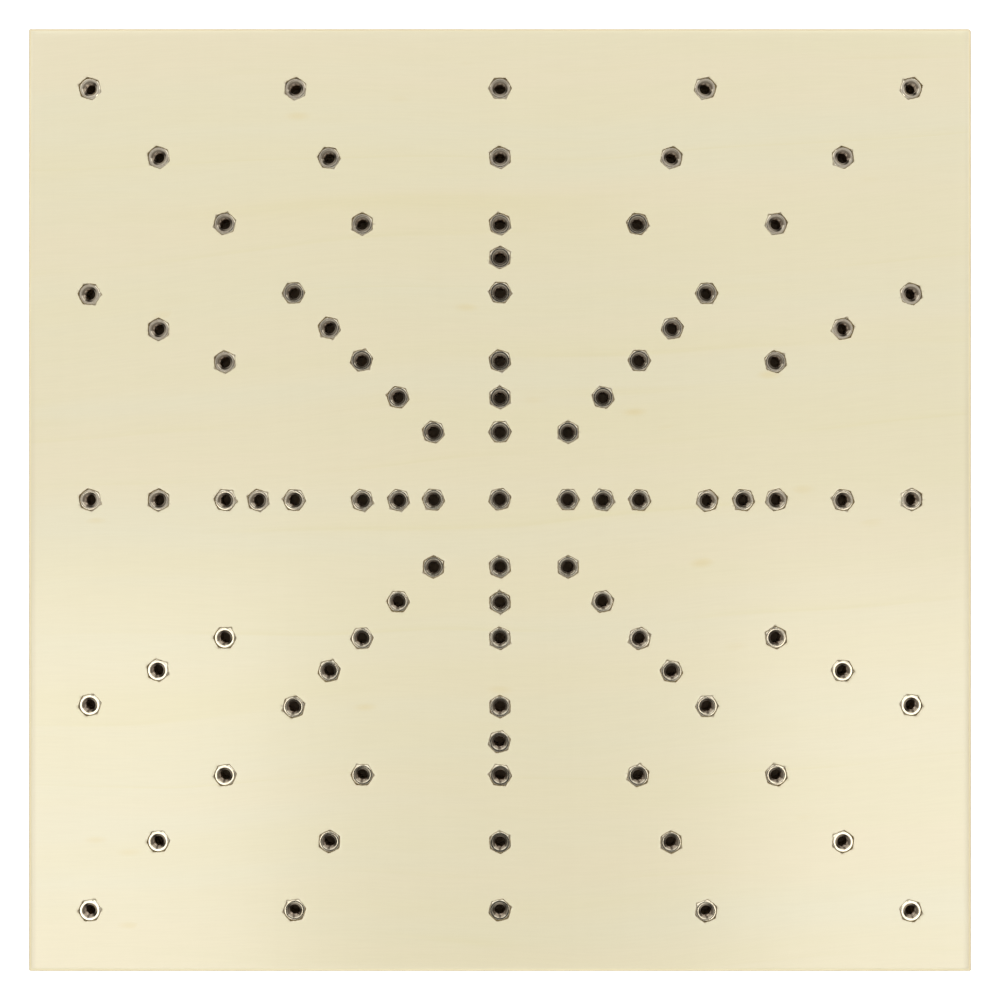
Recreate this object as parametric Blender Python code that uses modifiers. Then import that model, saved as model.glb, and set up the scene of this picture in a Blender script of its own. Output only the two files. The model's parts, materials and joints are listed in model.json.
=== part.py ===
"""Wooden blocking board with a pattern of hexagonal steel peg sockets.

A square panel lies flat on the table, its underside at z = 0. Threaded steel inserts are pressed
into blind pockets in its top face, flush with the wood, on nested squares and one round.
Metres, +Z up, origin at the middle of the underside.
"""

import math
import random

import bmesh
import bpy
from mathutils import Matrix

# Panel
BOARD_SIDE = 0.350
BOARD_THICKNESS = 0.018
EDGE_EASING = 0.0012
EDGE_SEGMENTS = 2

# Insert: an M5 thread in 8 mm hexagon bar, its bore left plain at the thread's inner diameter
ACROSS_FLATS = 0.008
INSERT_LENGTH = 0.012
BORE_RADIUS = 0.0021
COUNTERSINK_RADIUS = 0.0028
TOP_RING_RADIUS = 0.00355
CHAMFER_ANGLE = math.radians(30)
COUNTERSINK_ANGLE = math.radians(45)
BLANK_ALLOWANCE = 0.0002
TURNING_STEPS = 12

# Pocket in the wood round each insert
POCKET_GAP = 0.0003
CUTTER_RISE = 0.002

# Half the width of each square of sockets. The large squares have 16 sockets, the small ones 8.
LARGE_SQUARES = {"12in": 0.1525, "10in": 0.1270, "8in": 0.1023}
SMALL_SQUARES = {"6in": 0.0767, "4in": 0.0515, "3in": 0.0380, "2in": 0.0250}
ROUND_NAME = "7in"
ROUND_RADIUS = 0.0900
MIDDLE_NAME = "middle"

# The inserts of these rings are modelled. The other sockets are empty pockets.
RINGS_WITH_INSERTS = ("12in", "10in", "8in", "7in", "middle")

# The places round a square, in shares of its half width
COMPASS = {
    "N": (0.0, 1.0),
    "NNE": (0.5, 1.0),
    "NE": (1.0, 1.0),
    "ENE": (1.0, 0.5),
    "E": (1.0, 0.0),
    "ESE": (1.0, -0.5),
    "SE": (1.0, -1.0),
    "SSE": (0.5, -1.0),
    "S": (0.0, -1.0),
    "SSW": (-0.5, -1.0),
    "SW": (-1.0, -1.0),
    "WSW": (-1.0, -0.5),
    "W": (-1.0, 0.0),
    "WNW": (-1.0, 0.5),
    "NW": (-1.0, 1.0),
    "NNW": (-0.5, 1.0),
}
MAIN_POINTS = ("N", "NE", "E", "SE", "S", "SW", "W", "NW")

# Each insert was pressed in at whatever angle it happened to have.
TURN_SEED = 12
HEXAGON_TURN = math.radians(60)

WOOD_COLOUR = (0.79, 0.71, 0.51)
STEEL_COLOUR = (0.58, 0.54, 0.50)


def clear_scene():
    for obj in list(bpy.data.objects):
        bpy.data.objects.remove(obj, do_unlink=True)


def new_collection(name):
    collection = bpy.data.collections.new(name)
    bpy.context.scene.collection.children.link(collection)
    return collection


def new_material(name, colour, roughness, metallic):
    material = bpy.data.materials.new(name)
    material.use_nodes = True
    shader = material.node_tree.nodes["Principled BSDF"]
    shader.inputs["Base Color"].default_value = (*colour, 1.0)
    shader.inputs["Roughness"].default_value = roughness
    shader.inputs["Metallic"].default_value = metallic
    return material


def new_object(name, mesh, collection):
    obj = bpy.data.objects.new(name, mesh)
    collection.objects.link(obj)
    return obj


def new_cutter(name, mesh, collection):
    cutter = new_object(name, mesh, collection)
    cutter.hide_render = True
    cutter.display_type = "WIRE"
    return cutter


def mesh_from(bm, name):
    mesh = bpy.data.meshes.new(name)
    bm.to_mesh(mesh)
    bm.free()
    return mesh


def sockets():
    """Every socket, as (ring, compass point, x, y, turn of its hexagon)."""
    places = []
    for ring, half in LARGE_SQUARES.items():
        places += [(ring, point, half * x, half * y) for point, (x, y) in COMPASS.items()]
    for point in MAIN_POINTS:
        x, y = COMPASS[point]
        reach = ROUND_RADIUS / math.hypot(x, y)
        places.append((ROUND_NAME, point, reach * x, reach * y))
    for ring, half in SMALL_SQUARES.items():
        for point in MAIN_POINTS:
            x, y = COMPASS[point]
            places.append((ring, point, half * x, half * y))
    places.append((MIDDLE_NAME, "", 0.0, 0.0))
    turns = random.Random(TURN_SEED)
    return [(*place, turns.uniform(0.0, HEXAGON_TURN)) for place in places]


def add_hexagon(bm, across_flats, height, matrix):
    """Adds a closed hexagonal prism, with a corner on its own +X and its middle at the matrix."""
    corner_radius = across_flats / math.sqrt(3)
    bmesh.ops.create_cone(bm, cap_ends=True, segments=6, radius1=corner_radius,
                          radius2=corner_radius, depth=height, matrix=matrix)


def turned_blank():
    """Closed half section of the insert before its flats are cut, with its top at z = 0."""
    blank_radius = ACROSS_FLATS / math.sqrt(3) + BLANK_ALLOWANCE
    chamfer_drop = (blank_radius - TOP_RING_RADIUS) * math.tan(CHAMFER_ANGLE)
    countersink_depth = (COUNTERSINK_RADIUS - BORE_RADIUS) / math.tan(COUNTERSINK_ANGLE)
    section = [
        (COUNTERSINK_RADIUS, 0.0),
        (TOP_RING_RADIUS, 0.0),
        (blank_radius, -chamfer_drop),
        (blank_radius, -INSERT_LENGTH),
        (BORE_RADIUS, -INSERT_LENGTH),
        (BORE_RADIUS, -countersink_depth),
    ]
    edges = [(i, (i + 1) % len(section)) for i in range(len(section))]
    mesh = bpy.data.meshes.new("turned_blank")
    mesh.from_pydata([(radius, 0.0, z) for radius, z in section], edges, [])
    return mesh


def insert_mesh(cutters, material):
    """The finished insert, with its top at z = 0: the blank turned, then cut to a hexagon."""
    bm = bmesh.new()
    add_hexagon(bm, ACROSS_FLATS, 2 * INSERT_LENGTH,
                Matrix.Translation((0.0, 0.0, -INSERT_LENGTH / 2)))
    bar = new_cutter("hexagon_bar", mesh_from(bm, "hexagon_bar"), cutters)
    blank = new_cutter("turned_blank", turned_blank(), cutters)
    turn = blank.modifiers.new("turn", "SCREW")
    turn.steps = TURNING_STEPS
    turn.render_steps = TURNING_STEPS
    turn.use_merge_vertices = True
    turn.merge_threshold = 0.00001
    flats = blank.modifiers.new("flats", "BOOLEAN")
    flats.operation = "INTERSECT"
    flats.object = bar
    graph = bpy.context.evaluated_depsgraph_get()
    mesh = bpy.data.meshes.new_from_object(blank.evaluated_get(graph))
    mesh.name = "threaded_insert"
    mesh.materials.clear()
    mesh.materials.append(material)
    mesh.shade_smooth()
    mesh.set_sharp_from_angle(angle=math.radians(32))
    bpy.data.objects.remove(blank)
    bpy.data.objects.remove(bar)
    return mesh


def add_inserts(sites, parts, mesh):
    for ring, point, x, y, turn in sites:
        if ring not in RINGS_WITH_INSERTS:
            continue
        name = f"insert_{ring}_{point}" if point else f"insert_{ring}"
        insert = new_object(name, mesh, parts)
        insert.location = (x, y, BOARD_THICKNESS)
        insert.rotation_euler = (0.0, 0.0, turn)


def pocket_cutter(sites, cutters):
    """A hexagonal prism for each pocket, standing a little proud of the top face."""
    depth = INSERT_LENGTH + POCKET_GAP
    middle = BOARD_THICKNESS + (CUTTER_RISE - depth) / 2
    bm = bmesh.new()
    for _, _, x, y, turn in sites:
        place = Matrix.Translation((x, y, middle)) @ Matrix.Rotation(turn, 4, "Z")
        add_hexagon(bm, ACROSS_FLATS + 2 * POCKET_GAP, depth + CUTTER_RISE, place)
    return new_cutter("pockets", mesh_from(bm, "pockets"), cutters)


def add_board(sites, parts, cutters, material):
    """The panel with eased edges, with a pocket cut for every insert."""
    bm = bmesh.new()
    bmesh.ops.create_cube(bm, size=1.0, matrix=Matrix.Diagonal(
        (BOARD_SIDE, BOARD_SIDE, BOARD_THICKNESS, 1.0)))
    board = new_object("board", mesh_from(bm, "board"), parts)
    board.location.z = BOARD_THICKNESS / 2
    board.data.materials.append(material)
    easing = board.modifiers.new("eased_edges", "BEVEL")
    easing.width = EDGE_EASING
    easing.segments = EDGE_SEGMENTS
    drilling = board.modifiers.new("pockets", "BOOLEAN")
    drilling.operation = "DIFFERENCE"
    drilling.object = pocket_cutter(sites, cutters)


def main():
    clear_scene()
    parts = new_collection("blocking_board")
    cutters = new_collection("cutters")
    wood = new_material("pale_wood", WOOD_COLOUR, 0.55, 0.0)
    steel = new_material("nickel_plated_steel", STEEL_COLOUR, 0.25, 1.0)
    sites = sockets()
    add_board(sites, parts, cutters, wood)
    add_inserts(sites, parts, insert_mesh(cutters, steel))


main()
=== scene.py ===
"""The looks of the peg blocking board: a lacquered plywood panel and its 89 nickel-plated inserts.

The places and the panel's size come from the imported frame. The panel and 57 of the inserts replace
their CAD nodes, in finer mesh: eased edges, press-fit pockets with crushed rims, chamfers and real
threads. The other 32 inserts have no CAD node and fill the pockets that the frame leaves open.
"""

import json
import math
import random

import bmesh
import bpy
from mathutils import Matrix, Vector, geometry, noise


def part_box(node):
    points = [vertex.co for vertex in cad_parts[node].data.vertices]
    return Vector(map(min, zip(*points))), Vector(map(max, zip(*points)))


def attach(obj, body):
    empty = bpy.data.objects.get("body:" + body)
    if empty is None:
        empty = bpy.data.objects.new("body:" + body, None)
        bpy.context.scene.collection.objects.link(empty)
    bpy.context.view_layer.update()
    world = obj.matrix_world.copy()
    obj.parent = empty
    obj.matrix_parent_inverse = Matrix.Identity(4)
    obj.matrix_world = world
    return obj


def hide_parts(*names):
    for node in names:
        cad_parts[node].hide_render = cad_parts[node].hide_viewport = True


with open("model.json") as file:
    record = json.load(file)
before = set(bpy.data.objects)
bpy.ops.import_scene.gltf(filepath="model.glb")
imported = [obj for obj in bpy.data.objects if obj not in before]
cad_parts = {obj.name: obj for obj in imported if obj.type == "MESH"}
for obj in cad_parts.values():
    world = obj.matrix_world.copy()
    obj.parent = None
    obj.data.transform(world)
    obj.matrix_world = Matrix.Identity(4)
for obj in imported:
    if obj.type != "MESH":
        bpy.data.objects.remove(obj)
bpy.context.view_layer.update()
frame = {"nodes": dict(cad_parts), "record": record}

MM = 0.001
BODY = "root"
PANEL_LOW, PANEL_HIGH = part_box("board")
TOP = PANEL_HIGH.z
HALF_SIDE = PANEL_HIGH.x

# Insert, in millimetres from its axis and down from its top: M5 in 8 mm hexagon bar. The lip's pairs
# are how far out from the ring's inner edge, and the height. STEPS go once round.
STEPS = 48
ACROSS_FLATS = 8.0
LENGTH = 12.0
CORNER_WEAR = 0.14
WORN_CORNER = ACROSS_FLATS / math.sqrt(3) - CORNER_WEAR
FOOT_CHAMFER = 0.3
FOOT_INSET = 0.28
INSERT_SEED = 5
MOST_TILT_DEGREES = 1.2
MOST_SUNK = 0.05
RING_OUTER = 3.55
RING_INNER = 2.92
RING_ROUNDING = 0.06
RING_LIP = ((-0.03, -0.035), (0.02, -0.004), (0.07, 0.0))
CHAMFER_SLOPE = math.tan(math.radians(30))
CHAMFER_SHARES = (0.015, 0.35, 0.7, 0.97)
CHAMFER_LIP = 0.035
INSERT_SHARP_ANGLE = math.radians(20)

# Thread in the bore: where it starts and how long it takes to fade in are in millimetres, the
# flats of its crest and root are shares of its pitch
THREAD_CREST = 2.08
THREAD_DEPTH = 0.42
THREAD_PITCH = 0.8
THREAD_TOP = 0.60
THREAD_LEAD = 0.1
THREAD_FADE = 0.5
THREAD_TURNS = 5
THREAD_BOTTOM = THREAD_TOP + THREAD_TURNS * THREAD_PITCH
RINGS_PER_TURN = 8
CREST_FLAT = 0.25
ROOT_FLAT = 0.125
BORE_FOOT = 0.6
DULL_DEPTH = 5.0

# Pocket in the wood, in millimetres. A patch of finer mesh surrounds its mouth, in rings that are
# given as shares of the way out.
DRILL_RADIUS = 4.10
PRESS_CLEARANCE = 0.02
OVERHANG = 0.12
OVERHANG_DEPTH = 0.22
POCKET_DEPTH = 12.3
FLOOR_TOLERANCE = 0.5
DRILL_POINT = 0.3
PATCH_RADIUS = 5.9
RIM_SHARE = 0.45
PATCH_RINGS = (1.0, 0.72, 0.5, 0.32, 0.2, 0.11, 0.05, 0.0)

# Damage round a pocket's mouth, in millimetres. Dents and gouges lie off the insert's corners, and
# their reach runs between two shares of the patch. Chips fade out between two distances from the
# insert's middle.
DAMAGE_SEED = 31
CRUSHED_RIM = 0.06
CRUSHED_REACH = (0.06, 0.0)
DEEPEST_DENT = 0.11
DENT_SPREAD = math.radians(16)
DENT_REACH = (0.42, 0.05)
GOUGE_CHANCE = 0.22
GOUGE_DEPTHS = (0.2, 0.5)
GOUGE_SPREAD = math.radians(11)
GOUGE_REACH = (0.36, 0.12)
# Painted shade in a dent is darkest from this depth down.
DARKEST_DENT_SHADE = 0.35
CHIP_COUNTS = (0, 1, 1, 2, 3)
CHIP_PLACES = (-3.4, 3.4)
CHIP_WIDTHS = (0.18, 0.42)
CHIP_LENGTHS = (0.35, 1.2)
CHIP_DEPTHS = (0.06, 0.20)
CHIP_CORE = 0.2
CHIP_FADE = (5.8, 5.2)

# Panel outline, in millimetres. The roll-off pairs are how far in from the side and how far down.
EASING = 1.15
UNDER_EASING = 1.0
CORNER_RADIUS = 0.5
WORN_CORNER_RADIUS = 1.2
LEAST_CORNER_RADIUS = 0.02
ROLL_OFF = ((3.4, 0.0), (2.6, 0.014), (1.8, 0.045))
EASING_START = ROLL_OFF[-1][1] * 1.8
SANDING_WAVER = 0.10
SANDING_SCALE = 0.05
SANDING_SLICE = 4.0
SIDE_LEVELS = (0.2, 0.4, 0.6, 0.8)
SIDE_STEPS = 44
CORNER_STEPS = 7
EASING_STEPS = 5
TOP_GRID = 4.5
UNDER_GRID = 17.5
GRID_STAGGER = 0.25
MERGE_DISTANCE = 1e-7
PATCH_SPARE = 0.9
OUTLINE_SPARE = 1.5
PANEL_SHARP_ANGLE = math.radians(50)
PLIES = 11

# Camera, floor and light, in metres. The sensor is in millimetres.
CAMERA_HEIGHT = 0.75
SENSOR = 36.0
BOARD_SHARE_OF_PICTURE = 0.9432
CLIP_RANGE = (0.05, 20.0)
FLOOR_REACH = 6.0
FLOOR_SEGMENTS = 24
FLOOR_GAP = 0.0004

# Base colours of the wood: its face, then its sides, then round and inside the pockets
FACE_TONES = (0.772, 0.725, 0.520), (0.791, 0.719, 0.502)
FACE_SHADE = (0.779, 0.719, 0.488)
GROWTH_LINE = (0.757, 0.691, 0.415)
FLECK = (0.745, 0.640, 0.345)
FIBRE_SHADE = (0.56, 0.49, 0.30)
# painted shade for the bands along the two ends
PAINTED_END_SHADE = (0.62, 0.55, 0.365)
SANDED_FAR = (0.80, 0.71, 0.48), (0.76, 0.66, 0.41)
# painted light: the edge on the user's side is painted paler than on the far side
PAINTED_LIGHT_NEAR_EDGE = (0.91, 0.84, 0.58), (0.87, 0.77, 0.48)
SANDED_ENDS = (0.83, 0.76, 0.49), (0.79, 0.67, 0.41)
# painted shade on the steep part of the eased edge
ARRIS_PAINTED_SHADE = (0.42, 0.355, 0.215)
PLY_LENGTHWAYS = (0.80, 0.68, 0.44), (0.70, 0.55, 0.32)
PLY_ENDWAYS = (0.60, 0.44, 0.235), (0.44, 0.30, 0.15)
GLUE_LINE = (0.25, 0.15, 0.08)
# crushed wood at a pocket's mouth, with painted shade there
CRUSHED_WOOD_AND_SHADE = (0.47, 0.38, 0.24)
# painted shade where the face sinks into dents, gouges and chips
DENT_SHADE_COLOUR = (0.26, 0.19, 0.11)
POCKET_MOUTH = (0.40, 0.28, 0.16)
POCKET_WALL = (0.29, 0.23, 0.15)

# Base colours of the metal: on top, then from the countersink down the bore, where they are painted
# darker and browner: painted shade and a painted reflection of the wood
NICKEL_TONES = (0.685, 0.63, 0.492), (0.585, 0.515, 0.39)
SCRATCH = (0.34, 0.29, 0.25)
COUNTERSINK_PAINTED_SHADE = (0.30, 0.25, 0.19)
UPPER_THREAD_PAINTED_REFLECTION = (0.50, 0.41, 0.31)
LOWER_THREAD_REFLECTION_AND_SHADE = (0.43, 0.345, 0.265)

PAPER_TONES = (0.93, 0.93, 0.93), (0.95, 0.95, 0.945)
PAPER_GLOW = 0.55

# How far each material's relief stands out, in metres
WOOD_RELIEF = 0.00003
STEEL_RELIEF = 0.00001
PAPER_RELIEF = 0.00005

# Directions lower than this height count as this high, so that their tangents stay finite.
LOWEST_SKY = 0.05

# Colours of the room's sky, from straight up to the horizon. Pairs are the user's side, then the
# far side, and LOW_SKY's the other way round.
OVERHEAD_SKY = (0.59, 0.58, 0.565), (0.64, 0.61, 0.625)
LIGHT_GAP = (1.0, 0.99, 0.98)
DARK_PATCH = (0.02, 0.02, 0.02)
BRIGHT_SKY = (0.80, 0.80, 0.80), (0.96, 0.955, 0.95)
LOW_SKY = (0.46, 0.44, 0.42), (0.56, 0.55, 0.54)
DIM_SKY = (0.09, 0.085, 0.08)
HORIZON = (0.88, 0.88, 0.87)

# Name, place, size and radiance of each near softbox, then name and place of each far one
NEAR_SOFTBOXES = (
    ("near_left_softbox", (-0.615, -0.515, 1.52), (0.74, 0.88), 2.10),
    ("near_right_softbox", (0.630, -0.520, 1.52), (0.70, 0.87), 1.95),
)
FAR_SOFTBOXES = (
    ("far_left_softbox", (-0.66, 0.82, 0.95)),
    ("far_right_softbox", (0.66, 0.82, 0.95)),
)
FAR_SIZE = (1.10, 0.90)
FAR_RADIANCE = 0.92
WARM = (1.0, 0.965, 0.91)
COOL = (0.97, 0.99, 1.0)


def insert_reach(angle):
    """Distance from the axis to the insert's side: a hexagon with worn corners, one at angle 0."""
    from_flat = angle % math.radians(60) - math.radians(30)
    return min(ACROSS_FLATS / 2 / math.cos(from_flat), WORN_CORNER)


def smooth(start, end, value):
    """Runs smoothly from 0 to 1 as value goes from start to end."""
    share = min(max((value - start) / (end - start), 0.0), 1.0)
    return share * share * (3 - 2 * share)


class Graph:
    """Short calls that make a material's or world's nodes. Most take numbers or sockets and return
    a socket."""

    def __init__(self, owner, shader="Principled BSDF"):
        owner.use_nodes = True
        self.owner = owner
        self.nodes = owner.node_tree.nodes
        self.links = owner.node_tree.links
        self.shader = self.nodes[shader]

    def put(self, socket, value):
        if isinstance(value, bpy.types.NodeSocket):
            self.links.new(value, socket)
        elif isinstance(value, tuple) and len(value) == 3 and socket.type == "RGBA":
            socket.default_value = (*value, 1.0)
        else:
            socket.default_value = value

    def node(self, kind, **settings):
        made = self.nodes.new("ShaderNode" + kind)
        for name, value in settings.items():
            setattr(made, name, value)
        return made

    def shade(self, **values):
        """Sets the shader's own sockets; an underscore in a name stands for a space."""
        for name, value in values.items():
            self.put(self.shader.inputs[name.replace("_", " ")], value)

    def attribute(self, name, output="Fac", kind="GEOMETRY"):
        return self.node("Attribute", attribute_name=name, attribute_type=kind).outputs[output]

    def math(self, operation, *values):
        made = self.node("Math", operation=operation)
        for socket, value in zip(made.inputs, values):
            self.put(socket, value)
        return made.outputs[0]

    def add(self, a, b):
        return self.math("ADD", a, b)

    def times(self, a, b):
        return self.math("MULTIPLY", a, b)

    def scaled(self, vector, x, y, z):
        made = self.node("VectorMath", operation="MULTIPLY")
        self.put(made.inputs[0], vector)
        made.inputs[1].default_value = (x, y, z)
        return made.outputs[0]

    def split(self, vector):
        made = self.node("SeparateXYZ")
        self.put(made.inputs[0], vector)
        return made.outputs

    def joined(self, x, y, z):
        made = self.node("CombineXYZ")
        for socket, value in zip(made.inputs, (x, y, z)):
            self.put(socket, value)
        return made.outputs[0]

    def noise(self, vector, detail=2.0, distortion=0.0):
        made = self.node("TexNoise", noise_dimensions="3D")
        self.put(made.inputs["Vector"], vector)
        made.inputs["Scale"].default_value = 1.0
        made.inputs["Detail"].default_value = detail
        made.inputs["Roughness"].default_value = 0.5
        made.inputs["Distortion"].default_value = distortion
        return made.outputs[0]

    def cells(self, vector):
        """Voronoi cells: the distance to the nearest point, and that point's own random colour."""
        made = self.node("TexVoronoi")
        self.put(made.inputs["Vector"], vector)
        made.inputs["Scale"].default_value = 1.0
        return made.outputs["Distance"], made.outputs["Color"]

    def between(self, value, low, high, bottom=0.0, top=1.0):
        """Runs smoothly from bottom to top as value goes from low to high."""
        made = self.node("MapRange", interpolation_type="SMOOTHSTEP")
        made.inputs["From Min"].default_value = low
        made.inputs["From Max"].default_value = high
        made.inputs["To Min"].default_value = bottom
        made.inputs["To Max"].default_value = top
        self.put(made.inputs["Value"], value)
        return made.outputs["Result"]

    def blend(self, share, a, b):
        """The colour a where share is 0 and b where it is 1."""
        made = self.node("Mix", data_type="RGBA", blend_type="MIX")
        self.put(made.inputs[0], share)
        self.put(made.inputs[6], a)
        self.put(made.inputs[7], b)
        return made.outputs[2]

    def bump(self, height, distance, strength):
        made = self.node("Bump")
        made.inputs["Strength"].default_value = strength
        made.inputs["Distance"].default_value = distance
        self.put(made.inputs["Height"], height)
        return made.outputs[0]


def face_grain(g, place):
    """The veneer's colour: faint bands, thin golden growth lines that come and go, flecks, fibres,
    and painted shade along the two ends. Returns the colour, and the fibres and lines for the relief."""
    x, y, z = g.split(place)
    warp = g.noise(g.scaled(place, 5.0, 11.0, 1.0), detail=1.5)
    drift = g.noise(g.scaled(place, 1.7, 3.0, 1.0), detail=0.0)
    level = g.add(y, g.times(x, -0.04))
    bent = g.add(g.add(level, g.times(warp, 0.022)), g.times(drift, 0.050))
    spacing = g.noise(g.joined(g.times(x, 0.8), g.times(bent, 26.0), 3.0), detail=1.0)
    rings = g.math("FRACT", g.add(g.times(bent, 36.0), g.times(spacing, 2.4)))
    left = g.math("SUBTRACT", 1.0, rings)
    start = g.between(rings, 0.0, 0.03)
    strength = g.between(g.noise(g.joined(g.times(x, 6.0), g.times(bent, 24.0), 8.0)), 0.42, 0.62)
    thin = g.math("POWER", left, 32.0)
    broad = g.times(g.math("POWER", left, 5.0), 0.08)
    line = g.times(g.times(g.add(thin, broad), start), strength)

    tint = g.noise(g.joined(g.times(x, 2.2), g.times(bent, 34.0), 21.0), detail=2.0)
    shade = g.noise(g.joined(g.times(x, 3.4), g.times(bent, 60.0), 37.0), detail=3.0)
    colour = g.blend(g.between(tint, 0.34, 0.62), *FACE_TONES)
    colour = g.blend(g.between(shade, 0.35, 0.72), colour, FACE_SHADE)
    colour = g.blend(line, colour, GROWTH_LINE)

    distance, random_colour = g.cells(g.joined(g.times(x, 80.0), g.times(bent, 240.0), 0.0))
    red, green, _ = g.split(random_colour)
    chosen = g.math("GREATER_THAN", red, 0.989)
    fleck = g.times(g.between(distance, 0.50, 0.05), g.between(green, 0.0, 1.0, 0.15, 0.75))
    colour = g.blend(g.times(fleck, chosen), colour, FLECK)

    stretched = g.joined(g.times(x, 70.0), g.times(bent, 1700.0), g.times(z, 400.0))
    fibres = g.noise(stretched, detail=3.0)
    planing = g.noise(g.joined(g.times(x, 330.0), g.times(y, 9.0), 5.0), detail=2.0)
    fine = g.between(fibres, 0.30, 0.72, 0.0, 0.06)
    grain = g.add(fine, g.between(planing, 0.35, 0.7, 0.0, 0.012))
    colour = g.blend(grain, colour, FIBRE_SHADE)

    # Painted shade: darker bands along the two ends, strongest towards the user and on the right.
    to_end = g.between(g.math("ABSOLUTE", x), HALF_SIDE - 3.5 * MM, HALF_SIDE - 0.9 * MM)
    uneven = g.noise(g.joined(g.times(x, 9.0), g.times(y, 14.0), 50.0), detail=2.0)
    towards_user = g.between(y, 0.13, -0.13, 0.14, 0.72)
    end_shade_amount = g.add(towards_user, g.between(uneven, 0.3, 0.7, -0.10, 0.10))
    end_shade_amount = g.add(end_shade_amount, g.times(g.math("GREATER_THAN", x, 0.0), 0.16))
    colour = g.blend(g.times(to_end, end_shade_amount), colour, PAINTED_END_SHADE)
    return colour, fibres, line


def ply_edges(g, place):
    """The panel's sawn sides: plies lying alternately along and across, with glue lines between.
    Returns the colour, and the pores for the relief."""
    x, y, z = g.split(place)
    across_x = g.math("GREATER_THAN", g.math("ABSOLUTE", x), g.math("ABSOLUTE", y))
    waver = g.noise(g.scaled(place, 30.0, 30.0, 4.0), detail=2.0)
    height = g.add(g.times(z, PLIES / TOP), g.times(waver, 0.10))
    ply = g.math("FLOOR", height)
    within = g.math("FRACT", height)
    even = g.math("MODULO", ply, 2.0)
    end_grain = g.math("ABSOLUTE", g.math("SUBTRACT", even, across_x))
    end_grain = g.math("SUBTRACT", 1.0, end_grain)
    long_streaks = g.noise(g.scaled(place, 60.0, 60.0, 2600.0), detail=3.0)
    pores = g.noise(g.scaled(place, 1900.0, 1900.0, 2600.0), detail=2.0)
    lengthways = g.blend(g.between(long_streaks, 0.3, 0.7), *PLY_LENGTHWAYS)
    endways = g.blend(g.between(pores, 0.35, 0.65), *PLY_ENDWAYS)
    colour = g.blend(end_grain, endways, lengthways)
    glue = g.add(g.between(within, 0.07, 0.0), g.between(within, 0.95, 1.0))
    colour = g.blend(g.times(glue, 0.6), colour, GLUE_LINE)
    return colour, pores


def sanded_and_lit_edge(g, place):
    """The sanded edge, more orange where the fibres end, with painted light: its user's side is
    painted paler.
    """
    x, y, _ = g.split(place)
    uneven = g.noise(g.scaled(place, 55.0, 55.0, 55.0), detail=2.0)
    far = g.blend(uneven, *SANDED_FAR)
    # Painted light: the edge on the user's side is painted paler than on the far side.
    near = g.blend(uneven, *PAINTED_LIGHT_NEAR_EDGE)
    along = g.blend(g.math("LESS_THAN", y, 0.0), far, near)
    across = g.blend(uneven, *SANDED_ENDS)
    ends = g.math("GREATER_THAN", g.math("ABSOLUTE", x), g.math("ABSOLUTE", y))
    return g.blend(ends, along, across)


def lacquered_plywood():
    """Plywood under a satin coat that is worn off the edges and never reached the pockets.

    The mesh says where things are: edge runs from 0 on the faces to 1 on the sides, rim rises to 1
    at a pocket's mouth, inside rises to 1 at its floor, and the last tag, for painted shade, grows
    where the face sinks into dents."""
    g = Graph(bpy.data.materials.new("lacquered_plywood"))
    place = g.node("TexCoord").outputs["Object"]
    edge = g.attribute("edge")
    rim = g.attribute("rim")
    inside = g.attribute("inside")
    face, fibres, line = face_grain(g, place)
    side, pores = ply_edges(g, place)
    colour = g.blend(g.between(edge, 0.0, 0.14), face, sanded_and_lit_edge(g, place))
    colour = g.blend(g.between(edge, 0.34, 0.74), colour, side)
    # Painted shade on the steep part of the eased edge, where it turns down into the side.
    arris_shade = g.times(g.between(edge, 0.36, 0.60), g.between(edge, 0.98, 0.82))
    colour = g.blend(g.times(arris_shade, 0.55), colour, ARRIS_PAINTED_SHADE)
    patchy = g.noise(g.scaled(place, 40.0, 40.0, 40.0), detail=3.0)
    # Crushed wood at a pocket's mouth, partly painted shade along the dark outline round the insert.
    colour = g.blend(g.times(g.between(rim, 0.75, 1.0), 0.25), colour, CRUSHED_WOOD_AND_SHADE)
    # Painted shade, darker the deeper the face sinks into dents, gouges, chips and the crushed rim.
    colour = g.blend(g.times(g.attribute("dent_shade"), 0.8), colour, DENT_SHADE_COLOUR)
    colour = g.blend(g.between(inside, 0.0, 0.25), colour, POCKET_MOUTH)
    colour = g.blend(g.between(inside, 0.2, 1.0), colour, POCKET_WALL)
    coat = g.times(g.between(inside, 0.3, 0.0), g.between(edge, 0.03, 0.42, 1.0, 0.08))
    g.shade(Base_Color=colour, Coat_Weight=coat, Coat_Roughness=0.19, Coat_IOR=1.68)
    g.shade(Roughness=g.between(patchy, 0.3, 0.7, 0.50, 0.62), Specular_IOR_Level=0.35)
    raised = g.add(g.times(fibres, 0.5), g.times(line, -0.5))
    raised = g.add(raised, g.times(g.times(pores, edge), 0.8))
    g.shade(Normal=g.bump(raised, WOOD_RELIEF, 0.6))
    return g.owner


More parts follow.
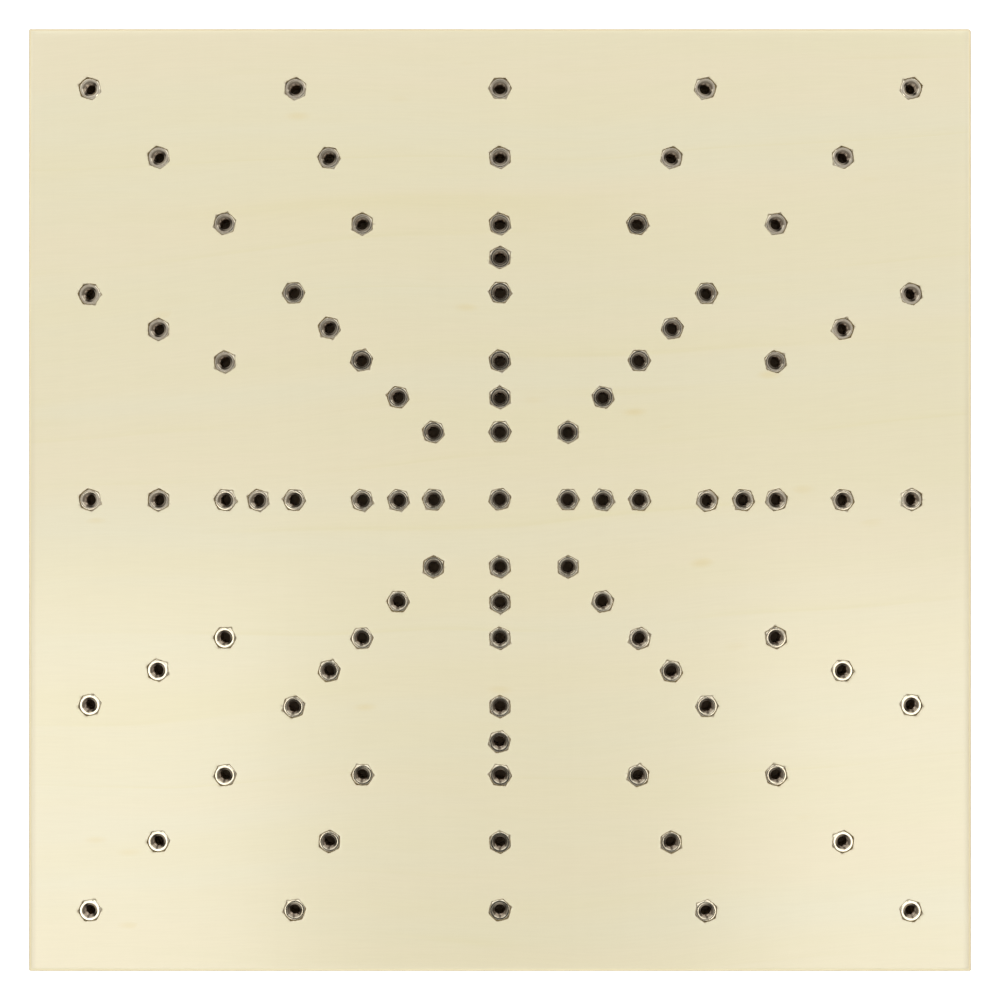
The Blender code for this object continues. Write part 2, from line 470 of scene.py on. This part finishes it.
def nickel_plated_steel():
    """Satin nickel with turning marks round the axis, duller down in the thread. Down the bore it is
    painted darker and browner: painted shade and a painted reflection of the wood.

    The mesh gives each point its place on the insert, how deep it is in the bore and whether it was
    turned on a lathe. Each insert has its own number for its wear."""
    g = Graph(bpy.data.materials.new("nickel_plated_steel"))
    own = g.attribute("own_place", "Vector")
    deep = g.attribute("deep")
    turned = g.attribute("turned")
    wear = g.attribute("wear", kind="OBJECT")
    x, y, z = g.split(own)
    radius = g.math("SQRT", g.add(g.times(x, x), g.times(y, y)))
    moved = g.joined(g.add(x, wear), g.add(y, wear), z)
    marks = g.noise(g.joined(g.times(radius, 14000.0), wear, g.times(z, 14000.0)), detail=2.0)
    blotches = g.noise(g.scaled(moved, 700.0, 700.0, 700.0), detail=3.0)
    scratches = g.noise(g.scaled(moved, 900.0, 5200.0, 900.0), detail=2.0, distortion=0.6)
    colour = g.blend(g.between(blotches, 0.35, 0.7), *NICKEL_TONES)
    colour = g.blend(g.times(g.between(scratches, 0.62, 0.75), 0.35), colour, SCRATCH)
    # Painted shade and a painted reflection of the wood: the countersink dark, the thread brown,
    # darker further down.
    colour = g.blend(g.between(deep, 0.0, 0.05), colour, COUNTERSINK_PAINTED_SHADE)
    colour = g.blend(g.between(deep, 0.12, 0.16), colour, UPPER_THREAD_PAINTED_REFLECTION)
    colour = g.blend(g.between(deep, 0.60, 1.0), colour, LOWER_THREAD_REFLECTION_AND_SHADE)
    satin = g.between(blotches, 0.3, 0.75, 0.08, 0.125)
    rough = g.add(satin, g.between(deep, 0.0, 0.5, 0.0, 0.22))
    g.shade(Base_Color=colour, Metallic=1.0, Roughness=rough)
    height = g.add(g.times(g.times(marks, turned), 0.8), g.times(scratches, 0.3))
    g.shade(Normal=g.bump(height, STEEL_RELIEF, 0.35))
    return g.owner


def white_floor():
    """White paper that glows a little. It can be looked through from underneath."""
    g = Graph(bpy.data.materials.new("white_paper"))
    place = g.node("TexCoord").outputs["Object"]
    tone = g.noise(g.scaled(place, 3.0, 3.0, 3.0), detail=2.0)
    grain = g.noise(g.scaled(place, 900.0, 900.0, 900.0), detail=2.0)
    g.shade(Base_Color=g.blend(tone, *PAPER_TONES), Roughness=0.9)
    g.shade(Emission_Color=(1.0, 1.0, 1.0), Emission_Strength=PAPER_GLOW)
    g.shade(Normal=g.bump(grain, PAPER_RELIEF, 0.3))
    clear_below = g.node("MixShader")
    g.put(clear_below.inputs[0], g.node("NewGeometry").outputs["Backfacing"])
    g.put(clear_below.inputs[1], g.shader.outputs[0])
    g.put(clear_below.inputs[2], g.node("BsdfTransparent").outputs[0])
    g.put(g.nodes["Material Output"].inputs["Surface"], clear_below.outputs[0])
    return g.owner


def new_object(name, mesh):
    obj = bpy.data.objects.new(name, mesh)
    bpy.context.scene.collection.objects.link(obj)
    return obj


def set_values(mesh, name, values):
    """Stores one number for each vertex, which a material reads as an attribute."""
    layer = mesh.attributes.new(name, "FLOAT", "POINT")
    layer.data.foreach_set("value", values)


def bridge(bm, rings, closed=False):
    """Joins rings of vertices, each to the next, with quads."""
    pairs = list(zip(rings, rings[1:]))
    if closed:
        pairs.append((rings[-1], rings[0]))
    for upper, lower in pairs:
        count = len(upper)
        for i in range(count):
            j = (i + 1) % count
            bm.faces.new((upper[i], upper[j], lower[j], lower[i]))


# ---------------------------------------------------------------- inserts


def insert_profile():
    """The insert's rings from the mouth of the bore outwards, down, in and back up the bore.

    They come in three lists: the lathe-turned top, the hexagonal sides and the bore. Each ring is a
    function from an angle to its radius and height there."""
    def round_ring(radius, height):
        return lambda angle: (radius, height)

    def chamfered(share, drop=0.0):
        def place(angle):
            radius = RING_OUTER + (insert_reach(angle) - RING_OUTER) * share
            return radius, -(radius - RING_OUTER) * CHAMFER_SLOPE - drop
        return place

    def side(height, inset=0.0):
        return lambda angle: (insert_reach(angle) - inset, height)

    def thread(depth):
        def place(angle):
            turn = (-depth / THREAD_PITCH - angle / math.tau) % 1.0
            flank = (1 - CREST_FLAT - ROOT_FLAT) / 2
            ridge = min(max((0.5 - CREST_FLAT / 2 - abs(turn - 0.5)) / flank, 0.0), 1.0)
            amount = smooth(THREAD_TOP - THREAD_LEAD, THREAD_TOP + THREAD_FADE, depth)
            amount *= smooth(THREAD_BOTTOM + THREAD_LEAD, THREAD_BOTTOM - THREAD_FADE, depth)
            return THREAD_CREST + THREAD_DEPTH * ridge * amount, -depth
        return place

    turned = [round_ring(RING_INNER + out, height) for out, height in RING_LIP]
    turned.append(round_ring(RING_OUTER - RING_ROUNDING, 0.0))
    turned += [chamfered(share) for share in CHAMFER_SHARES]
    sides = [chamfered(1.0, CHAMFER_LIP), side(-LENGTH / 2), side(-LENGTH + FOOT_CHAMFER)]
    sides += [side(-LENGTH, FOOT_INSET), round_ring(RING_INNER, -LENGTH)]
    rings = THREAD_TURNS * RINGS_PER_TURN
    depths = [THREAD_TOP + (THREAD_BOTTOM - THREAD_TOP) * i / rings for i in range(rings + 1)]
    bore = [round_ring(THREAD_CREST, -LENGTH + BORE_FOOT)]
    bore += [thread(depth) for depth in reversed(depths)]
    return turned, sides, bore


def insert_mesh(material):
    """The mesh that all the inserts share, with its top at height 0."""
    turned, sides, bore = insert_profile()
    bm = bmesh.new()
    rings = []
    for place in turned + sides + bore:
        ring = []
        for i in range(STEPS):
            angle = math.tau * i / STEPS
            radius, height = place(angle)
            point = Vector((radius * math.cos(angle), radius * math.sin(angle), height))
            ring.append(bm.verts.new(point * MM))
        rings.append(ring)
    bridge(bm, rings, closed=True)
    bmesh.ops.recalc_face_normals(bm, faces=bm.faces)
    mesh = bpy.data.meshes.new("threaded_insert")
    bm.to_mesh(mesh)
    bm.free()
    count_turned = len(turned) * STEPS
    first_bore = (len(turned) + len(sides)) * STEPS
    is_turned, depth = [], []
    for index, vertex in enumerate(mesh.vertices):
        in_bore = index >= first_bore
        is_turned.append(1.0 if index < count_turned or in_bore else 0.0)
        depth.append(min(-vertex.co.z / (DULL_DEPTH * MM), 1.0) if in_bore else 0.0)
    set_values(mesh, "turned", is_turned)
    set_values(mesh, "deep", depth)
    own = mesh.attributes.new("own_place", "FLOAT_VECTOR", "POINT")
    own.data.foreach_set("vector", [c for v in mesh.vertices for c in v.co])
    mesh.materials.append(material)
    mesh.shade_smooth()
    mesh.set_sharp_from_angle(angle=INSERT_SHARP_ANGLE)
    return mesh


def pocket_sites():
    """Every socket: its name, its node if it has one, its place and the turn of its hexagon.

    The places come from the insert nodes and, for the sockets with none, from the record's openings.
    The turn is read from the corners of the pocket's floor in the board's own mesh."""
    places = []
    for node in sorted(frame["nodes"]):
        if node.startswith("insert_"):
            low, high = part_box(node)
            places.append((node.removeprefix("insert_"), node, (low + high) / 2))
    for opening in frame["record"]["physics"]["openings"]:
        low, high = (Vector(corner) for corner in opening["box_m"])
        places.append((opening["name"].removeprefix("peg_socket_"), None, (low + high) / 2))
    floor = TOP - POCKET_DEPTH * MM
    board = frame["nodes"]["board"].data
    corners = [v.co for v in board.vertices if abs(v.co.z - floor) < FLOOR_TOLERANCE * MM]
    sites = []
    for name, node, middle in places:
        near = [c for c in corners if (c.xy - middle.xy).length < PATCH_RADIUS * MM]
        centre = sum((c.xy for c in near), Vector((0.0, 0.0))) / len(near)
        arm = near[0].xy - centre
        turn = math.atan2(arm.y, arm.x) % math.radians(60)
        sites.append((name, node, centre, turn))
    return sites


def add_inserts(sites, material):
    """All the inserts, each leaning a little, and sunk until its bounding box is under the face."""
    mesh = insert_mesh(material)
    chance = random.Random(INSERT_SEED)
    for name, node, centre, turn in sites:
        insert = new_object("hex_insert_" + name, mesh)
        tilt = math.radians(chance.uniform(0.0, MOST_TILT_DEGREES))
        sunk = math.sqrt(2 / 3) * ACROSS_FLATS * math.sin(tilt) + chance.uniform(0.0, MOST_SUNK)
        lean = Matrix.Rotation(tilt, 4, Vector((math.cos(turn * 6), math.sin(turn * 6), 0.0)))
        place = Matrix.Translation((centre.x, centre.y, TOP - sunk * MM))
        insert.matrix_world = place @ lean @ Matrix.Rotation(turn, 4, "Z")
        insert["wear"] = round(chance.uniform(0.0, 1.0), 4)
        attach(insert, BODY)
        if node:
            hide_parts(node)


# ---------------------------------------------------------------- panel


def outline(inset):
    """Points round the panel, in millimetres, set in from its sides. One corner is worn rounder."""
    half = HALF_SIDE / MM
    points = []
    for quarter in range(4):
        radius = WORN_CORNER_RADIUS if quarter == 0 else CORNER_RADIUS
        after = CORNER_RADIUS if quarter != 3 else WORN_CORNER_RADIUS
        for i in range(CORNER_STEPS + 1):
            angle = math.radians(90) * i / CORNER_STEPS
            reach = max(radius - inset, LEAST_CORNER_RADIUS)
            middle = half - inset - reach
            x, y = middle + reach * math.cos(angle), middle + reach * math.sin(angle)
            points.append((quarter, x, y))
        start, end = half - radius, -(half - after)
        for i in range(1, SIDE_STEPS):
            share = i / SIDE_STEPS
            points.append((quarter, start + (end - start) * share, half - inset))
    turned = []
    for quarter, x, y in points:
        for _ in range(quarter):
            x, y = -y, x
        turned.append((x, y))
    return turned


def opening_reach(angle):
    """The hexagon pressed through the drilled hole, its corners biting into the wood."""
    return insert_reach(angle) + PRESS_CLEARANCE


def mouth_reach(angle):
    """The pocket's mouth, where the wood springs back a little over the insert's chamfer."""
    return max(opening_reach(angle) - PRESS_CLEARANCE - OVERHANG, DRILL_RADIUS - OVERHANG)


def rim_chips(chance):
    """Slivers lifted out along the grain where the insert went in: (side, y, width, length, depth).

    The side is -1 or 1, for left or right, and y is how far up or down from the insert's middle."""
    chips = []
    for _ in range(chance.choice(CHIP_COUNTS)):
        side = chance.choice((-1, 1))
        y = chance.uniform(*CHIP_PLACES)
        width = chance.uniform(*CHIP_WIDTHS)
        length = chance.uniform(*CHIP_LENGTHS)
        depth = chance.uniform(*CHIP_DEPTHS)
        chips.append((side, y, width, length, depth))
    return chips


def rim_height(dx, dy, share, dents, gouges, angle, chips):
    """The height of the wood's face beside an insert: 0 where it is flat, less where it is damaged.

    The place is dx, dy off the insert's middle, at an angle from its first corner and a share of the
    way from the pocket's mouth to the edge of the patch. Dents and gouges are one for each corner."""
    sector = int(angle / math.radians(60) + 0.5) % 6
    off_corner = abs((angle + math.radians(30)) % math.radians(60) - math.radians(30))
    height = -dents[sector] * smooth(DENT_SPREAD, 0.0, off_corner) * smooth(*DENT_REACH, share)
    height -= gouges[sector] * smooth(GOUGE_SPREAD, 0.0, off_corner) * smooth(*GOUGE_REACH, share)
    height -= CRUSHED_RIM * smooth(*CRUSHED_REACH, share)
    distance = math.hypot(dx, dy)
    for side, y, width, length, depth in chips:
        if dx * side > 0:
            edge = math.sqrt(max(DRILL_RADIUS ** 2 - y * y, 0.0))
            along = smooth(edge + length, edge + CHIP_CORE * length, abs(dx))
            beside = smooth(width, CHIP_CORE * width, abs(dy - y))
            height -= depth * along * beside * smooth(*CHIP_FADE, distance)
    return height


def add_pocket(bm, tags, centre, turn, chance):
    """One pocket and the patch of face round it. Returns the patch's outer ring of vertices.

    The tags hold each vertex's edge, rim, inside and the depth that sets its painted shade, which
    the plywood's material reads."""
    dents = [chance.uniform(0.0, DEEPEST_DENT) for _ in range(6)]
    gouges = [chance.uniform(*GOUGE_DEPTHS) if chance.random() < GOUGE_CHANCE else 0.0
              for _ in range(6)]
    chips = rim_chips(chance)
    rings = []
    for share in PATCH_RINGS:
        ring = []
        for i in range(STEPS):
            angle = math.tau * i / STEPS
            inner = mouth_reach(angle)
            radius = inner + (PATCH_RADIUS - inner) * share
            dx, dy = radius * math.cos(angle + turn), radius * math.sin(angle + turn)
            height = 0.0
            if share < 1:
                height = rim_height(dx, dy, share, dents, gouges, angle, chips)
            vertex = bm.verts.new((centre.x + dx * MM, centre.y + dy * MM, TOP + height * MM))
            # Painted shade, darker the lower the face lies.
            dent_shade = min(-height / DARKEST_DENT_SHADE, 1.0)
            tags[vertex] = (0.0, smooth(RIM_SHARE, 0.0, share), 0.0, dent_shade)
            ring.append(vertex)
        rings.append(ring)
    for depth, inside in ((OVERHANG_DEPTH, 0.1), (POCKET_DEPTH, 1.0)):
        ring = []
        for i in range(STEPS):
            angle = math.tau * i / STEPS
            radius = opening_reach(angle)
            x = centre.x + radius * MM * math.cos(angle + turn)
            y = centre.y + radius * MM * math.sin(angle + turn)
            vertex = bm.verts.new((x, y, TOP - depth * MM))
            tags[vertex] = (0.0, 1.0, inside, 0.0)
            ring.append(vertex)
        rings.append(ring)
    bridge(bm, rings)
    tip = bm.verts.new((centre.x, centre.y, TOP - (POCKET_DEPTH + DRILL_POINT) * MM))
    tags[tip] = (0.0, 1.0, 1.0, 0.0)
    floor = rings[-1]
    for i in range(STEPS):
        bm.faces.new((floor[i], floor[(i + 1) % STEPS], tip))
    return rings[0]


def fill_face(bm, tags, loops, grid, z, keep):
    """Triangulates the flat face between the loops, with a grid of points where keep(x, y) allows.

    A triangle stays where keep allows its middle with nothing to spare."""
    verts = [v for loop in loops for v in loop]
    edges = []
    start = 0
    for loop in loops:
        edges += [(start + i, start + (i + 1) % len(loop)) for i in range(len(loop))]
        start += len(loop)
    points = [Vector((v.co.x, v.co.y)) for v in verts]
    count = round(2 * HALF_SIDE / MM / grid)
    for i in range(1, count):
        for j in range(1, count):
            stagger = GRID_STAGGER if j % 2 else -GRID_STAGGER
            x = -HALF_SIDE + (i + stagger) * 2 * HALF_SIDE / count
            y = -HALF_SIDE + j * 2 * HALF_SIDE / count
            if keep(x, y):
                points.append(Vector((x, y)))
                vertex = bm.verts.new((x, y, z))
                tags[vertex] = (0.0, 0.0, 0.0, 0.0)
                verts.append(vertex)
    result = geometry.delaunay_2d_cdt(points, edges, [], 0, MERGE_DISTANCE)
    out_points, _, triangles, origins, _, _ = result
    for triangle in triangles:
        middle = sum((out_points[i] for i in triangle), Vector((0.0, 0.0))) / 3
        if keep(middle.x, middle.y, 0.0):
            bm.faces.new([verts[origins[i][0]] for i in triangle])


def side_levels():
    """The panel's section from the top face over the edge to the underside: (inset, height, edge)."""
    top, bottom = TOP / MM, PANEL_LOW.z / MM
    levels = [(inset, top - drop, 0.0) for inset, drop in ROLL_OFF]
    for i in range(EASING_STEPS + 1):
        angle = math.radians(90) * i / EASING_STEPS
        height = top - EASING_START - (EASING - EASING_START) * (1 - math.cos(angle))
        levels.append((EASING * (1 - math.sin(angle)), height, i / EASING_STEPS))
    for share in SIDE_LEVELS:
        levels.append((0.0, top * (1 - share), 1.0))
    for i in range(EASING_STEPS + 1):
        angle = math.radians(90) * i / EASING_STEPS
        height = bottom + UNDER_EASING * (1 - math.sin(angle))
        levels.append((UNDER_EASING * (1 - math.cos(angle)), height, 1 - i / EASING_STEPS))
    return levels


def add_panel(sites, material):
    bm = bmesh.new()
    tags = {}
    chance = random.Random(DAMAGE_SEED)
    wells = [add_pocket(bm, tags, centre, turn, chance) for _, _, centre, turn in sites]
    rings = []
    for inset, height, edge in side_levels():
        ring = []
        for x, y in outline(inset):
            sanded = 0.0
            if 0.0 < inset < EASING and height > TOP / MM / 2:
                spot = Vector((x * SANDING_SCALE, y * SANDING_SCALE, SANDING_SLICE))
                sanded = abs(SANDING_WAVER * noise.noise(spot))
            drop = sanded * math.sin(math.pi * inset / EASING)
            vertex = bm.verts.new((x * MM, y * MM, (height - drop) * MM))
            tags[vertex] = (edge, 0.0, 0.0, 0.0)
            ring.append(vertex)
        rings.append(ring)
    bridge(bm, rings)
    margin = HALF_SIDE - (ROLL_OFF[0][0] + OUTLINE_SPARE) * MM
    centres = [centre for _, _, centre, _ in sites]

    def on_top(x, y, spare=PATCH_SPARE * MM):
        near = PATCH_RADIUS * MM + spare
        far = HALF_SIDE if spare == 0.0 else margin
        if max(abs(x), abs(y)) > far:
            return False
        return all((c.x - x) ** 2 + (c.y - y) ** 2 > near * near for c in centres)

    def underneath(x, y, spare=1.0):
        return max(abs(x), abs(y)) < (margin if spare else HALF_SIDE)

    fill_face(bm, tags, [rings[0]] + wells, TOP_GRID, TOP, on_top)
    fill_face(bm, tags, [rings[-1]], UNDER_GRID, PANEL_LOW.z, underneath)
    bmesh.ops.recalc_face_normals(bm, faces=bm.faces)
    bm.verts.index_update()
    ordered = [tags[vertex] for vertex in bm.verts]
    mesh = bpy.data.meshes.new("panel")
    bm.to_mesh(mesh)
    bm.free()
    for name, values in zip(("edge", "rim", "inside", "dent_shade"), zip(*ordered)):
        set_values(mesh, name, values)
    mesh.materials.append(material)
    mesh.shade_smooth()
    mesh.set_sharp_from_angle(angle=PANEL_SHARP_ANGLE)
    panel = new_object("plywood_panel", mesh)
    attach(panel, BODY)
    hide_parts("board")


# ---------------------------------------------------------------- floor, camera and light


def add_floor(material):
    bm = bmesh.new()
    bmesh.ops.create_grid(bm, x_segments=FLOOR_SEGMENTS, y_segments=FLOOR_SEGMENTS, size=FLOOR_REACH)
    mesh = bpy.data.meshes.new("floor")
    bm.to_mesh(mesh)
    bm.free()
    mesh.materials.append(material)
    floor = new_object("floor", mesh)
    floor.location.z = PANEL_LOW.z - FLOOR_GAP


def add_camera():
    """Straight above the middle of the board, with the board filling the photograph's share."""
    camera = bpy.data.cameras.new("camera")
    camera.sensor_width = SENSOR
    width = 2 * HALF_SIDE / BOARD_SHARE_OF_PICTURE
    camera.lens = SENSOR * CAMERA_HEIGHT / width
    camera.clip_start, camera.clip_end = CLIP_RANGE
    obj = new_object("camera", camera)
    obj.location = (0.0, 0.0, TOP + CAMERA_HEIGHT)
    bpy.context.scene.camera = obj


def add_softbox(name, place, size, radiance, colour, aim=(0.0, 0.0, 0.0)):
    """A rectangular softbox. Its power follows from how bright its face is to be."""
    light = bpy.data.lights.new(name, "AREA")
    light.shape = "RECTANGLE"
    light.size, light.size_y = size
    light.energy = radiance * math.pi * size[0] * size[1]
    light.color = colour
    obj = new_object(name, light)
    obj.location = place
    obj.rotation_euler = (Vector(aim) - Vector(place)).to_track_quat("-Z", "Y").to_euler()


def add_room():
    """A pale room: bright a third of the way down the sky, dim lower and pale at the horizon.

    Overhead are two dark patches, one round the camera and one nearer the user, with a light gap
    between them. Only the metal and the lacquer show that part. Places in the sky are tangents of
    the angle from straight up."""
    g = Graph(bpy.data.worlds.new("pale_room"), "Background")
    x, y, z = g.split(g.node("TexCoord").outputs["Generated"])
    height = g.math("MAXIMUM", z, LOWEST_SKY)
    across = g.math("DIVIDE", x, height)
    away = g.math("DIVIDE", y, height)

    def distance(middle=0.0, wide=1.0, deep=1.0):
        """How far off the point (0, middle) is, in units of wide and deep."""
        u = g.math("DIVIDE", across, wide)
        v = g.math("DIVIDE", g.math("SUBTRACT", away, middle), deep)
        return g.math("SQRT", g.add(g.times(u, u), g.times(v, v)))

    gap = g.between(distance(-0.053, 0.12, 0.042), 1.2, 0.6)
    camera_patch = g.times(g.between(distance(0.074, 0.108, 0.095), 1.15, 0.92), 0.98)
    near_patch = g.times(g.between(distance(-0.184, 0.115, 0.120), 1.16, 0.86), 0.95)
    overhead = g.blend(g.between(away, -0.3, 0.2), *OVERHEAD_SKY)
    overhead = g.blend(gap, overhead, LIGHT_GAP)
    overhead = g.blend(camera_patch, overhead, DARK_PATCH)
    overhead = g.blend(near_patch, overhead, DARK_PATCH)

    from_zenith = distance()
    middle = g.blend(g.between(away, -0.5, 0.5), *BRIGHT_SKY)
    low = g.blend(g.between(away, -0.5, -1.5), *LOW_SKY)
    colour = g.blend(g.between(from_zenith, 0.31, 0.40), overhead, middle)
    colour = g.blend(g.between(from_zenith, 1.05, 1.40), colour, low)
    colour = g.blend(g.between(from_zenith, 1.9, 2.9), colour, DIM_SKY)
    colour = g.blend(g.between(from_zenith, 3.4, 6.0), colour, HORIZON)
    g.put(g.shader.inputs["Color"], colour)
    bpy.context.scene.world = g.owner


def add_light():
    """Two softboxes facing down over the near corners, and two dimmer ones on the far side."""
    for name, place, size, radiance in NEAR_SOFTBOXES:
        add_softbox(name, place, size, radiance, WARM, (place[0], place[1], 0.0))
    for name, place in FAR_SOFTBOXES:
        add_softbox(name, place, FAR_SIZE, FAR_RADIANCE, COOL)


def main():
    bpy.context.scene.view_settings.view_transform = "Standard"
    sites = pocket_sites()
    add_camera()
    add_room()
    add_light()
    add_floor(white_floor())
    add_panel(sites, lacquered_plywood())
    add_inserts(sites, nickel_plated_steel())


main()
